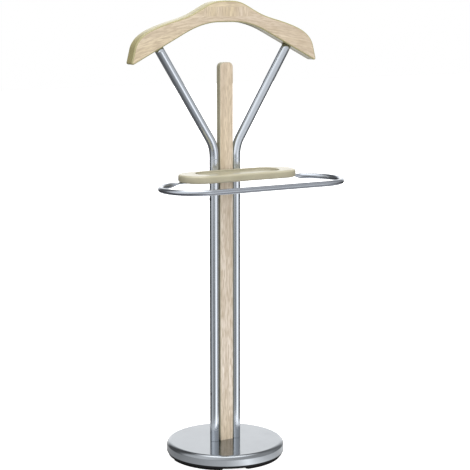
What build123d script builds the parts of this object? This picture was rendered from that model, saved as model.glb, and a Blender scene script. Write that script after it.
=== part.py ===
from build123d import *
import math
import os

# Valet stand. Millimetres, +Z up, X across the stand, the front towards -Y.
# Every piece is drawn about the upright axis of the round base, with the floor at Z = 0.
# On export all of them are moved back by SET_BACK, so that the origin lies on the floor
# under the middle of the whole stand.

# Base
BASE_RADIUS = 140.0
COVER_BOTTOM = 11.8
COVER_TOP = 36.4
COVER_WALL = 1.5
COVER_SHOULDER = 10.5
WEIGHT_RADIUS = 128.0
WEIGHT_HEIGHT = 14.0
WEIGHT_EDGE = 2.0
BOLT_RECESS_RADIUS = 10.0
BOLT_RECESS_DEPTH = 9.0
PLATE_RADIUS = 137.0
PLATE_WALL = 3.0
PLATE_EDGE = 1.5
PLATE_RIM_TOP = 20.0
PLATE_BOSS_RADIUS = 6.0
PLATE_SCREW_COUNT = 4
PLATE_SCREW_CIRCLE = 95.0
PLATE_SCREW_RECESS = 4.3
FOOT_OUTER_RADIUS = 132.8
FOOT_WIDTH = 15.0
FOOT_HEIGHT = 5.3
FOOT_EDGE = 1.5
FOOT_COUNT = 4
FOOT_ARC = 65.5
FOOT_CLOCKING = 24.75

# Uprights
TUBE_RADIUS = 11.0
TUBE_WALL = 1.5
TUBE_X = 28.75
TUBE_JOINT = 712.0
SPIGOT_LENGTH = 50.0
SPIGOT_CLEARANCE = 0.15
SPIGOT_SHOULDER = 6.0
POST_WIDTH = 35.0
POST_DEPTH = 16.0
POST_TOP = 935.0
POST_CORNER = 12.0
POST_EDGE = 1.5
SIDE_SCREW_HEIGHTS = (153.0, 619.0)

# Arms: the two bent tubes
ARM_ANGLE = 31.7
ARM_CORNER = 741.2
ARM_BEND = 80.0
ARM_TURN_BACK = 1.5

# Hanger, as half an outline in X and Z
HANGER_THICKNESS = 30.0
HANGER_EDGE = 3.0
HANGER_TIP_RADIUS = 4.0
HANGER_TOP = [(0, 1075), (34.5, 1071.8), (66, 1057.5), (96.5, 1042.6),
              (140, 1029.3), (185, 1014.7), (219, 995.5), (236, 969.5)]
HANGER_TIP = (245.5, 931.3)
HANGER_ARCH = [(110, 1001), (69.4, 1018), (36, 1025), (0, 1026)]

# Tray
TRAY_LENGTH = 296.0
TRAY_WIDTH = 94.7
TRAY_REAR = -11.3
TRAY_BOTTOM = 670.5
TRAY_THICKNESS = 18.0
TRAY_CORNER = 45.0
TRAY_EDGE = 5.0
HOLLOW_LENGTH = 212.0
HOLLOW_WIDTH = 76.0
HOLLOW_DEPTH = 5.0
HOLLOW_COVE = 3.0
HOLLOW_LIP = 1.5

# Trouser bar
BAR_RADIUS = 6.35
BAR_WALL = 1.2
BAR_HEIGHT = 666.0
BAR_BACK = -50.0
BAR_END_RADIUS = 77.0
BAR_HALF_LENGTH = 225.5
BAR_FLARE = 22.3
TONGUE_WIDTH = 18.5
TONGUE_THICKNESS = 3.0
TONGUE_INNER_END = 100.0
TONGUE_ROUNDING = 8.75
TONGUE_LAP = 1.0
FLARE_NARROWER = 0.5
FLARE_THINNER = 0.2
FLARE_STEPS = 4
BAR_SCREW_X = 115.0

# Fasteners. A pan head is given as its radius and height, and a bite is how far a screw
# goes into the piece that holds it.
FIT = 0.1
LOOSE_FIT = 0.5
HOLE_PAST_TIP = 1.0
BOLT_RADIUS = 4.0
BOLT_BITE = 16.0
BOLT_HEAD = (6.5, 5.0)
POST_SCREW_RADIUS = 3.0
POST_SCREW_BITE = 45.0
POST_SCREW_HEAD = (5.5, 4.0)
WASHER_RADIUS = 8.0
WASHER_THICKNESS = 1.6
CROSS_SCREW_RADIUS = 2.5
SIDE_SCREW_BITE = 14.0
TRAY_BOLT_BITE = 28.0
SMALL_SCREW_RADIUS = 2.0
PLATE_SCREW_BITE = 8.0
PLATE_SCREW_HEAD = (4.0, 2.4)
BAR_SCREW_BITE = 9.0
BAR_SCREW_HEAD = (4.5, 2.4)
STUD_RADIUS = 3.0
STUD_BITE = 26.0
STUD_INSET = 2.0
PLUG_LENGTH = 20.0
PAN_ROUNDING = 0.6
PAN_SOCKET_WIDTH = 0.5
PAN_SOCKET_DEPTH = 0.6
RAISED_RIM = 4.3
RAISED_DEPTH = 1.8
RAISED_DOME = 1.2
RAISED_SINK = 0.4
RAISED_MOUTH = 3.0
RAISED_SOCKET_RADIUS = 1.6
RAISED_SOCKET_DEPTH = 1.8

# Worked out from the above
TUBE_BORE = TUBE_RADIUS - TUBE_WALL
PLUG_RADIUS = TUBE_BORE - FIT
WEIGHT_TOP = COVER_TOP - COVER_WALL
WEIGHT_BOTTOM = WEIGHT_TOP - WEIGHT_HEIGHT
BOLT_SEAT = WEIGHT_BOTTOM + BOLT_RECESS_DEPTH
WASHER_BOTTOM = BOLT_SEAT - WASHER_THICKNESS
PLATE_SCREW_SEAT = FOOT_HEIGHT + PLATE_WALL
TRAY_MIDDLE = TRAY_BOTTOM + TRAY_THICKNESS / 2
TRAY_CENTRE_Y = TRAY_REAR - TRAY_WIDTH / 2
BAR_END_X = BAR_HALF_LENGTH - BAR_END_RADIUS
BAR_CENTRE_Y = BAR_BACK - BAR_END_RADIUS
BAR_FRONT = BAR_BACK - 2 * BAR_END_RADIUS
SET_BACK = (BAR_RADIUS - BAR_FRONT - BASE_RADIUS) / 2

# How far a cutting shape, or a piece that is cut back later, runs past the surface
OVERRUN = 20.0

ON_BASE = (Align.CENTER, Align.CENTER, Align.MIN)


def disc(radius, bottom, top):
    """Upright cylinder between two heights."""
    return Pos(0, 0, bottom) * Cylinder(radius, top - bottom, align=ON_BASE)


def rod(radius, start, end):
    """Round bar from one point to another."""
    run = Vector(*end) - Vector(*start)
    return extrude(Plane(origin=start, z_dir=run) * Circle(radius), run.length)


def both_sides(piece):
    """The piece and its mirror image across the stand, as separate solids."""
    return [piece, mirror(piece, about=Plane.YZ)]


def pan_screw(seat, head_size, radius, reach):
    """Screw with a rounded head on the seat plane and a shank along the plane's normal."""
    head_radius, head_height = head_size
    head = disc(head_radius, -head_height, 0)
    head = fillet(head.edges().group_by(Axis.Z)[0], head_height * PAN_ROUNDING)
    socket = extrude(RegularPolygon(head_radius * PAN_SOCKET_WIDTH, 6), head_height * PAN_SOCKET_DEPTH)
    return seat * (head - Pos(0, 0, -head_height) * socket + disc(radius, 0, reach))


def raised_screw(rim, reach):
    """Raised countersunk screw: its rim lies on the plane and its shank runs along the normal."""
    cone = Cone(RAISED_RIM, CROSS_SCREW_RADIUS - FIT, RAISED_DEPTH, align=ON_BASE)
    dome_radius = (RAISED_RIM**2 + RAISED_DOME**2) / (2 * RAISED_DOME)
    dome = Pos(0, 0, dome_radius - RAISED_DOME) * Sphere(dome_radius)
    dome &= disc(RAISED_RIM, -RAISED_DOME, 0)
    socket = Pos(0, 0, -RAISED_DOME) * extrude(RegularPolygon(RAISED_SOCKET_RADIUS, 6), RAISED_SOCKET_DEPTH)
    shank = disc(CROSS_SCREW_RADIUS - FIT, RAISED_DEPTH, reach)
    return rim * (cone + dome + shank - socket)


def raised_hole(rim, reach):
    """Room for a raised countersunk screw: the cone under its head and the hole for its shank."""
    cone = Cone(RAISED_RIM + FIT, CROSS_SCREW_RADIUS, RAISED_DEPTH, align=ON_BASE)
    mouth = disc(RAISED_RIM + FIT, -RAISED_MOUTH, 0)
    return rim * (mouth + cone + disc(CROSS_SCREW_RADIUS, 0, reach))


# Screw seats ------------------------------------------------------------------------------

def side_screw_rim(height):
    """Outer side of the right tube, facing the post."""
    return Plane(origin=(TUBE_X + TUBE_RADIUS - RAISED_SINK, 0, height), x_dir=(0, 1, 0), z_dir=(-1, 0, 0))


def tray_bolt_rim():
    """Back of the right tube, facing the tray."""
    return Plane(origin=(TUBE_X, TUBE_RADIUS - RAISED_SINK, TRAY_MIDDLE), x_dir=(1, 0, 0), z_dir=(0, -1, 0))


def bar_screw_seat():
    """Underside of the right tongue of the trouser bar."""
    return Plane(origin=(BAR_SCREW_X, BAR_BACK, TRAY_BOTTOM - TONGUE_THICKNESS), z_dir=(0, 0, 1))


SIDE_SCREW_REACH = TUBE_X + TUBE_RADIUS - POST_WIDTH / 2 + SIDE_SCREW_BITE
TRAY_BOLT_REACH = 2 * TUBE_RADIUS + TRAY_BOLT_BITE
BAR_SCREW_REACH = TONGUE_THICKNESS + BAR_SCREW_BITE


# Base -------------------------------------------------------------------------------------

def bolt_axes():
    """Places of the two tube bolts and the post screw, each with its hole radius."""
    return [(-TUBE_X, BOLT_RADIUS), (0, POST_SCREW_RADIUS), (TUBE_X, BOLT_RADIUS)]


def plate_screw_places():
    """Places on the screw circle, each at a gap between two feet."""
    first = FOOT_CLOCKING + 180.0 / FOOT_COUNT
    return PolarLocations(PLATE_SCREW_CIRCLE, PLATE_SCREW_COUNT, start_angle=first).locations


def base_cover():
    outer = disc(BASE_RADIUS, COVER_BOTTOM, COVER_TOP)
    outer = fillet(outer.edges().group_by(Axis.Z)[-1], COVER_SHOULDER)
    inner = disc(BASE_RADIUS - COVER_WALL, COVER_BOTTOM, WEIGHT_TOP)
    inner = fillet(inner.edges().group_by(Axis.Z)[-1], COVER_SHOULDER - COVER_WALL)
    cover = outer - inner
    for x, radius in bolt_axes():
        cover -= Pos(x, 0, 0) * disc(radius + LOOSE_FIT, WEIGHT_BOTTOM, COVER_TOP + OVERRUN)
    return cover


def base_weight():
    weight = disc(WEIGHT_RADIUS, WEIGHT_BOTTOM, WEIGHT_TOP)
    weight = fillet(weight.edges().group_by(Axis.Z)[0], WEIGHT_EDGE)
    for x, radius in bolt_axes():
        weight -= Pos(x, 0, 0) * disc(radius + LOOSE_FIT, WEIGHT_BOTTOM, WEIGHT_TOP)
        weight -= Pos(x, 0, 0) * disc(BOLT_RECESS_RADIUS, WEIGHT_BOTTOM, BOLT_SEAT)
    depth = PLATE_SCREW_BITE + HOLE_PAST_TIP
    for place in plate_screw_places():
        weight -= place * disc(SMALL_SCREW_RADIUS, WEIGHT_BOTTOM, WEIGHT_BOTTOM + depth)
    return weight


def base_plate():
    plate = disc(PLATE_RADIUS, FOOT_HEIGHT, PLATE_RIM_TOP)
    plate = fillet(plate.edges().group_by(Axis.Z)[0], PLATE_EDGE)
    plate -= disc(PLATE_RADIUS - PLATE_WALL, PLATE_SCREW_SEAT, PLATE_RIM_TOP)
    for place in plate_screw_places():
        plate += place * disc(PLATE_BOSS_RADIUS, FOOT_HEIGHT + PLATE_WALL / 2, WEIGHT_BOTTOM)
    for place in plate_screw_places():
        plate -= place * disc(SMALL_SCREW_RADIUS + FIT, FOOT_HEIGHT, WEIGHT_BOTTOM)
        plate -= place * disc(PLATE_SCREW_RECESS, FOOT_HEIGHT, PLATE_SCREW_SEAT)
    return plate


def plate_screws():
    seat = Plane(origin=(0, 0, PLATE_SCREW_SEAT))
    reach = WEIGHT_BOTTOM - PLATE_SCREW_SEAT + PLATE_SCREW_BITE
    screw = pan_screw(seat, PLATE_SCREW_HEAD, SMALL_SCREW_RADIUS - FIT, reach)
    return [place * screw for place in plate_screw_places()]


def rubber_feet():
    """Curved feet just inside the rim of the plate, with gaps between them."""
    radius = FOOT_OUTER_RADIUS - FOOT_WIDTH / 2
    sweep_angle = FOOT_ARC - 2 * math.degrees(math.asin(FOOT_WIDTH / 2 / radius))
    line = CenterArc((0, 0), radius, FOOT_CLOCKING - sweep_angle / 2, sweep_angle)
    foot = extrude(SlotArc(line, FOOT_WIDTH), FOOT_HEIGHT)
    foot = fillet(foot.edges().group_by(Axis.Z)[0], FOOT_EDGE)
    return [Rot(0, 0, 360.0 * k / FOOT_COUNT) * foot for k in range(FOOT_COUNT)]


def bolt_washers():
    washer = disc(WASHER_RADIUS, WASHER_BOTTOM, BOLT_SEAT)
    return [Pos(x, 0, 0) * (washer - disc(radius, WASHER_BOTTOM, BOLT_SEAT)) for x, radius in bolt_axes()]


def tube_bolts():
    seat = Plane(origin=(TUBE_X, 0, WASHER_BOTTOM))
    reach = COVER_TOP + BOLT_BITE - WASHER_BOTTOM
    return both_sides(pan_screw(seat, BOLT_HEAD, BOLT_RADIUS - FIT, reach))


def post_screw():
    seat = Plane(origin=(0, 0, WASHER_BOTTOM))
    reach = COVER_TOP + POST_SCREW_BITE - WASHER_BOTTOM
    return pan_screw(seat, POST_SCREW_HEAD, POST_SCREW_RADIUS - FIT, reach)


# Uprights ---------------------------------------------------------------------------------

def lower_tube():
    """The right one."""
    tube = disc(TUBE_RADIUS, COVER_TOP, TUBE_JOINT) - disc(TUBE_BORE, COVER_TOP, TUBE_JOINT)
    tube = Pos(TUBE_X, 0, 0) * tube
    for height in SIDE_SCREW_HEIGHTS:
        tube -= raised_hole(side_screw_rim(height), SIDE_SCREW_REACH)
    return tube - raised_hole(tray_bolt_rim(), TRAY_BOLT_REACH)


def foot_plugs():
    plug = disc(PLUG_RADIUS, COVER_TOP, COVER_TOP + PLUG_LENGTH)
    plug -= disc(BOLT_RADIUS, COVER_TOP, COVER_TOP + PLUG_LENGTH)
    return both_sides(Pos(TUBE_X, 0, 0) * plug)


def post():
    height = POST_TOP - COVER_TOP
    side = Plane.XZ * Pos(0, COVER_TOP + height / 2) * Rectangle(POST_WIDTH, height)
    board = extrude(side, POST_DEPTH / 2, both=True)
    board = fillet(board.edges().filter_by(Axis.Y).group_by(Axis.Z)[-1], POST_CORNER)
    rims = board.faces().sort_by(Axis.Y)[0].edges() + board.faces().sort_by(Axis.Y)[-1].edges()
    board = fillet([rim for rim in rims if rim.center().Z > COVER_TOP + POST_EDGE], POST_EDGE)
    board -= disc(POST_SCREW_RADIUS, COVER_TOP, COVER_TOP + POST_SCREW_BITE + HOLE_PAST_TIP)
    reach = SIDE_SCREW_REACH + HOLE_PAST_TIP
    for height in SIDE_SCREW_HEIGHTS:
        for hole in both_sides(raised_hole(side_screw_rim(height), reach)):
            board -= hole
    return board


def side_screws():
    screws = []
    for height in SIDE_SCREW_HEIGHTS:
        screws += both_sides(raised_screw(side_screw_rim(height), SIDE_SCREW_REACH))
    return screws


# Arms and hanger --------------------------------------------------------------------------

UNDERSIDE = HANGER_ARCH[0]
UNDERSIDE_SLOPE = (UNDERSIDE[1] - HANGER_TIP[1]) / (HANGER_TIP[0] - UNDERSIDE[0])
LEAN = math.radians(ARM_TURN_BACK)
ARM_RUN = math.tan(math.radians(ARM_ANGLE))

# How far out from the lower tube the arm's axis meets the hanger's underside
ARM_OUT = (UNDERSIDE[1] - ARM_CORNER + (UNDERSIDE[0] - TUBE_X) * UNDERSIDE_SLOPE) / (
    1 / ARM_RUN + math.cos(LEAN) * UNDERSIDE_SLOPE)
HANGER_Y = ARM_OUT * math.sin(LEAN)


def arm_point(out):
    """Point on the right arm's straight axis, OUT from the lower tube's axis."""
    return Vector(TUBE_X + out * math.cos(LEAN), out * math.sin(LEAN), ARM_CORNER + out / ARM_RUN)


def arm_axis_point(along):
    """Point on the right arm's axis, ALONG past the hanger's underside."""
    return arm_point(ARM_OUT + along * math.sin(math.radians(ARM_ANGLE)))


def above_underside():
    """Block that fills the space above the straight underside of the hanger's right half."""
    up = Vector(UNDERSIDE_SLOPE, 0, 1)
    plane = Plane(origin=(UNDERSIDE[0], 0, UNDERSIDE[1]), x_dir=(0, 1, 0), z_dir=up)
    return extrude(plane * Rectangle(HANGER_TIP[0], HANGER_TIP[0]), HANGER_TIP[0])


def arm_tube():
    """The right one: spigot, bend and straight arm, cut off along the hanger's underside."""
    foot = Vector(TUBE_X, 0, TUBE_JOINT)
    axis = FilletPolyline(foot, arm_point(0), arm_axis_point(OVERRUN), radius=ARM_BEND)
    section = Pos(TUBE_X, 0, TUBE_JOINT) * Circle(TUBE_RADIUS)
    bore = Pos(TUBE_X, 0, TUBE_JOINT) * Circle(TUBE_BORE)
    tube = sweep(section, path=axis) - sweep(bore, path=axis) - above_underside()
    shoulder = TUBE_JOINT + SPIGOT_SHOULDER
    spigot = disc(TUBE_BORE - SPIGOT_CLEARANCE, TUBE_JOINT - SPIGOT_LENGTH, TUBE_JOINT)
    spigot += disc(TUBE_BORE, TUBE_JOINT, shoulder)
    spigot -= disc(TUBE_BORE - TUBE_WALL, TUBE_JOINT - SPIGOT_LENGTH, shoulder)
    tube += Pos(TUBE_X, 0, 0) * spigot
    return tube - raised_hole(tray_bolt_rim(), TRAY_BOLT_REACH)


def arm_plugs():
    plug = rod(PLUG_RADIUS, arm_axis_point(-PLUG_LENGTH), arm_axis_point(OVERRUN))
    plug -= rod(STUD_RADIUS, arm_axis_point(-PLUG_LENGTH - OVERRUN), arm_axis_point(OVERRUN))
    return both_sides(plug - above_underside())


def hanger_studs():
    start = arm_axis_point(STUD_INSET - PLUG_LENGTH)
    return both_sides(rod(STUD_RADIUS - FIT, start, arm_axis_point(STUD_BITE)))


def hanger_half():
    """Half of the hanger's outline, from the crown down the shoulder to the tip and back."""
    crown, brow = HANGER_TOP[0], HANGER_TOP[-1]
    top = Spline(*HANGER_TOP, tangents=[(1, 0), (HANGER_TIP[0] - brow[0], HANGER_TIP[1] - brow[1])])
    arch = Spline(*HANGER_ARCH, tangents=[(-1, UNDERSIDE_SLOPE), (-1, 0)])
    end = Polyline(brow, HANGER_TIP, HANGER_ARCH[0])
    middle = Line(HANGER_ARCH[-1], crown)
    half = make_face(top + end + arch + middle)
    tip = half.vertices().sort_by(Axis.X)[-1]
    return fillet(tip, HANGER_TIP_RADIUS)


def hanger():
    half = extrude(Plane.XZ * hanger_half(), HANGER_THICKNESS / 2, both=True)
    faces = half.faces().filter_by(Axis.Y)
    rims = [rim for face in faces for rim in face.edges() if rim.center().X > HANGER_EDGE]
    half = Pos(0, HANGER_Y, 0) * fillet(rims, HANGER_EDGE)
    half -= rod(STUD_RADIUS, arm_axis_point(-OVERRUN), arm_axis_point(STUD_BITE + HOLE_PAST_TIP))
    return half + mirror(half, about=Plane.YZ)


# Tray and trouser bar ---------------------------------------------------------------------

def tray():
    board = extrude(RectangleRounded(TRAY_LENGTH, TRAY_WIDTH, TRAY_CORNER), TRAY_THICKNESS)
    rims = board.edges().group_by(Axis.Z)
    board = fillet(rims[0] + rims[-1], TRAY_EDGE)
    hollow = extrude(SlotOverall(HOLLOW_LENGTH, HOLLOW_WIDTH), HOLLOW_DEPTH + OVERRUN)
    hollow = fillet(hollow.edges().group_by(Axis.Z)[0], HOLLOW_COVE)
    board -= Pos(0, 0, TRAY_THICKNESS - HOLLOW_DEPTH) * hollow
    reach_x = HOLLOW_LENGTH / 2 + HOLLOW_LIP
    reach_y = HOLLOW_WIDTH / 2 + HOLLOW_LIP
    lip = [edge for edge in board.edges().group_by(Axis.Z)[-1]
           if abs(edge.center().X) < reach_x and abs(edge.center().Y) < reach_y]
    board = fillet(lip, HOLLOW_LIP)
    board = Pos(0, TRAY_CENTRE_Y, TRAY_BOTTOM) * board
    for hole in both_sides(raised_hole(tray_bolt_rim(), TRAY_BOLT_REACH + HOLE_PAST_TIP)):
        board -= hole
    screw_hole = disc(SMALL_SCREW_RADIUS, 0, BAR_SCREW_REACH + HOLE_PAST_TIP)
    for hole in both_sides(bar_screw_seat() * screw_hole):
        board -= hole
    return board


def tray_bolts():
    return both_sides(raised_screw(tray_bolt_rim(), TRAY_BOLT_REACH))


def bar_end_plane(angle, height):
    """Plane across the right end bend of the bar, at an angle from +X seen from above."""
    turn = math.radians(angle)
    x = BAR_END_X + BAR_END_RADIUS * math.cos(turn)
    y = BAR_CENTRE_Y + BAR_END_RADIUS * math.sin(turn)
    return Plane(origin=(x, y, height), x_dir=(math.cos(turn), math.sin(turn), 0),
                 z_dir=(-math.sin(turn), math.cos(turn), 0))


def bar_flare():
    """Right-hand stretch where the round tube is pressed flat, on the way in to its tongue."""
    flat_width = TONGUE_WIDTH / 2 - FLARE_NARROWER
    flat_thickness = TONGUE_THICKNESS / 2 - FLARE_THINNER
    flat_height = TRAY_BOTTOM - TONGUE_THICKNESS / 2
    sections = [bar_end_plane(90 - BAR_FLARE, BAR_HEIGHT) * Circle(BAR_RADIUS)]
    for step in range(1, FLARE_STEPS + 1):
        share = step / FLARE_STEPS
        eased = share * share * (3 - 2 * share)
        width = BAR_RADIUS + (flat_width - BAR_RADIUS) * eased
        thickness = BAR_RADIUS + (flat_thickness - BAR_RADIUS) * eased
        height = BAR_HEIGHT + (flat_height - BAR_HEIGHT) * eased
        sections.append(bar_end_plane(90 - BAR_FLARE * (1 - share), height) * Ellipse(width, thickness))
    return loft(sections)


def bar_tongue():
    """Right-hand flattened end, with its screw hole."""
    outer_end = BAR_END_X + TONGUE_LAP
    length = outer_end - TONGUE_INNER_END
    blade = Pos((outer_end + TONGUE_INNER_END) / 2, BAR_BACK) * Rectangle(length, TONGUE_WIDTH)
    blade = fillet(blade.vertices().group_by(Axis.X)[0], TONGUE_ROUNDING)
    tongue = Pos(0, 0, TRAY_BOTTOM - TONGUE_THICKNESS) * extrude(blade, TONGUE_THICKNESS)
    return tongue - bar_screw_seat() * disc(SMALL_SCREW_RADIUS + FIT, -OVERRUN, BAR_SCREW_REACH)


def trouser_bar():
    start = 90 - BAR_FLARE
    right = Pos(BAR_END_X, BAR_CENTRE_Y, BAR_HEIGHT) * CenterArc((0, 0), BAR_END_RADIUS, start, -90 - start)
    front = Line((BAR_END_X, BAR_FRONT, BAR_HEIGHT), (-BAR_END_X, BAR_FRONT, BAR_HEIGHT))
    left = Pos(-BAR_END_X, BAR_CENTRE_Y, BAR_HEIGHT) * CenterArc((0, 0), BAR_END_RADIUS, -90, -90 - start)
    axis = right + front + left
    across = bar_end_plane(start, BAR_HEIGHT)
    bar = sweep(across * Circle(BAR_RADIUS), path=axis)
    bar -= sweep(across * Circle(BAR_RADIUS - BAR_WALL), path=axis)
    for end in both_sides(bar_flare() + bar_tongue()):
        bar += end
    return bar


def bar_screws():
    return both_sides(pan_screw(bar_screw_seat(), BAR_SCREW_HEAD, SMALL_SCREW_RADIUS - FIT, BAR_SCREW_REACH))


# Export -----------------------------------------------------------------------------------

def write(name, pieces):
    """One STEP file per node, its pieces as separate solids."""
    pieces = pieces if isinstance(pieces, list) else [pieces]
    solids = [solid for piece in pieces for solid in piece.solids()]
    node = Compound(solids) if len(solids) > 1 else solids[0]
    export_step(Pos(0, SET_BACK, 0) * node, f"parts/{name}.step")


def write_pair(name, right):
    """A right-hand piece and its mirror image, each in a node of its own."""
    write(name + "_right", right)
    write(name + "_left", mirror(right, about=Plane.YZ))


os.makedirs("parts", exist_ok=True)
write("base_cover", base_cover())
write("base_weight", base_weight())
write("base_plate", base_plate())
write("plate_screws", plate_screws())
write("rubber_feet", rubber_feet())
write("tube_bolts", tube_bolts())
write("bolt_washers", bolt_washers())
write("post_screw", post_screw())
write_pair("lower_tube", lower_tube())
write("foot_plugs", foot_plugs())
write("post", post())
write("side_screws", side_screws())
write_pair("arm_tube", arm_tube())
write("arm_plugs", arm_plugs())
write("hanger", hanger())
write("hanger_studs", hanger_studs())
write("tray", tray())
write("tray_bolts", tray_bolts())
write("trouser_bar", trouser_bar())
write("bar_screws", bar_screws())
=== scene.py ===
"""Valet stand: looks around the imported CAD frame. Metres, +Z up, the front towards -Y.

Pieces are drawn about the upright axis of the round base, as the CAD draws them, and
Shape.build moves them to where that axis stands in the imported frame.
"""

import math

import bmesh
import bpy
import numpy as np
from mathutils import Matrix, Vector

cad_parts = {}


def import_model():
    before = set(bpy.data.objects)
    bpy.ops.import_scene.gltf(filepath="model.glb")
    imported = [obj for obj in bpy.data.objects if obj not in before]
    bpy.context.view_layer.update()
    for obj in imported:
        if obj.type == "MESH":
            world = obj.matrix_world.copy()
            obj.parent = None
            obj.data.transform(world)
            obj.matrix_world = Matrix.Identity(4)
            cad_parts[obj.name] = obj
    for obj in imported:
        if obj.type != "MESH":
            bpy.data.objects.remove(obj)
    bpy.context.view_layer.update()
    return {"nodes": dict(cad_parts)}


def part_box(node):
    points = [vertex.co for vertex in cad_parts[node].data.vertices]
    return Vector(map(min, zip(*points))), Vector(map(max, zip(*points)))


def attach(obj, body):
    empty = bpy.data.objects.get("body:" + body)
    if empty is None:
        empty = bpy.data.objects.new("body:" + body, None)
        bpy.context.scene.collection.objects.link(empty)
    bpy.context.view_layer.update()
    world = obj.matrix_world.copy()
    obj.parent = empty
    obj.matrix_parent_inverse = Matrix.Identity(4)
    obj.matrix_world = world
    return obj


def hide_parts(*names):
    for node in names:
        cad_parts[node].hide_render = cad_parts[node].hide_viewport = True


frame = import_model()

MM = 0.001


def middle(node):
    """Middle of a CAD node's box."""
    low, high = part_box(node)
    return (low + high) / 2


def size(node):
    """Lengths of a CAD node's box."""
    low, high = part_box(node)
    return high - low


# Where the base axis stands
AXIS = Vector((middle("base_cover").x, middle("base_cover").y, 0))

# Base
BASE_RADIUS = size("base_cover").x / 2
COVER_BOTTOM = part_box("base_cover")[0].z
COVER_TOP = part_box("base_cover")[1].z
COVER_WALL = 1.5 * MM
COVER_SHOULDER = 10.5 * MM
COVER_HEM = 0.6 * MM
FOOT_OUTER_RADIUS = size("rubber_feet").x / 2
FOOT_WIDTH = 15.0 * MM
FOOT_HEIGHT = size("rubber_feet").z
FOOT_EDGE = 1.5 * MM
FOOT_COUNT = 4
FOOT_ARC = 65.5
FOOT_CLOCKING = 24.75

# Uprights
TUBE_RADIUS = size("lower_tube_right").x / 2
TUBE_WALL = 1.5 * MM
TUBE_X = middle("lower_tube_right").x
TUBE_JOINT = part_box("lower_tube_right")[1].z
TUBE_CHAMFER = 0.35 * MM
SPIGOT_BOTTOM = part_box("arm_tube_right")[0].z
SPIGOT_CLEARANCE = 0.15 * MM
SPIGOT_SHOULDER = 6.0 * MM
POST_WIDTH = size("post").x
POST_DEPTH = size("post").y
POST_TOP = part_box("post")[1].z
POST_CORNER = 12.0 * MM
POST_EDGE = 1.5 * MM

# Arms
ARM_ANGLE = math.radians(31.7)
ARM_CORNER = 741.2 * MM
ARM_BEND = 80.0 * MM
ARM_TURN_BACK = math.radians(1.5)

# Hanger, as half an outline in X and Z
HANGER_THICKNESS = size("hanger").y
HANGER_Y = middle("hanger").y - AXIS.y
HANGER_EDGE = 3.0 * MM
HANGER_TIP_RADIUS = 4.0 * MM
HANGER_TOP = [(0, 1075), (34.5, 1071.8), (66, 1057.5), (96.5, 1042.6),
              (140, 1029.3), (185, 1014.7), (219, 995.5), (236, 969.5)]
HANGER_TIP = (245.5, 931.3)
HANGER_ARCH = [(110, 1001), (69.4, 1018), (36, 1025), (0, 1026)]

# Tray
TRAY_LENGTH = size("tray").x
TRAY_WIDTH = size("tray").y
TRAY_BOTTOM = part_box("tray")[0].z
TRAY_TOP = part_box("tray")[1].z
TRAY_Y = middle("tray").y - AXIS.y
TRAY_CORNER = 45.0 * MM
TRAY_EDGE = 5.0 * MM
HOLLOW_LENGTH = 212.0 * MM
HOLLOW_WIDTH = 76.0 * MM
HOLLOW_DEPTH = 5.0 * MM
HOLLOW_COVE = 3.0 * MM
HOLLOW_LIP = 1.5 * MM

# Trouser bar, whose two flattened ends are the tongues
BAR_RADIUS = 6.35 * MM
BAR_HEIGHT = 666.0 * MM
BAR_BACK = -50.0 * MM
BAR_END_RADIUS = 77.0 * MM
BAR_HALF_LENGTH = size("trouser_bar").x / 2 - BAR_RADIUS
BAR_FLARE = math.radians(22.3)
TONGUE_WIDTH = 18.5 * MM
TONGUE_THICKNESS = 3.0 * MM
TONGUE_INNER_END = 100.0 * MM
TONGUE_LENGTH = 47.0 * MM
TONGUE_ROUNDING = 8.75 * MM
TONGUE_SQUARENESS = 7.0
ROUND = 2.0            # squareness of a circle

# How finely the meshes are divided
COVER_SIDES = 256
TUBE_SIDES = 64
BAR_SIDES = 48
SMALL_EDGE_STEPS = 6
EDGE_STEPS = 8
INNER_CORNER_STEPS = 12
POST_CORNER_STEPS = 16
CORNER_STEPS = 24
FOOT_END_STEPS = 12
TRAY_END_STEPS = 4
LENGTHWISE_STEPS = 40
BEND_STEPS = 32
ARM_RUN_STEPS = 11
TIP_STEPS = 12
FACE_ROWS = 8
TONGUE_END_STEPS = 10
FLARE_STEPS = 14
BAR_END_STEPS = 64
BAR_FRONT_STEPS = 8
# Rings this far inside a rounded edge keep the flat face flat
EDGE_SUPPORT = 0.3 * MM
WIDE_SUPPORT = 0.8 * MM
COVER_TOP_RINGS = (0.5 * MM, 1.5 * MM, 12.0 * MM)


# Mesh building -----------------------------------------------------------------------------

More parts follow.
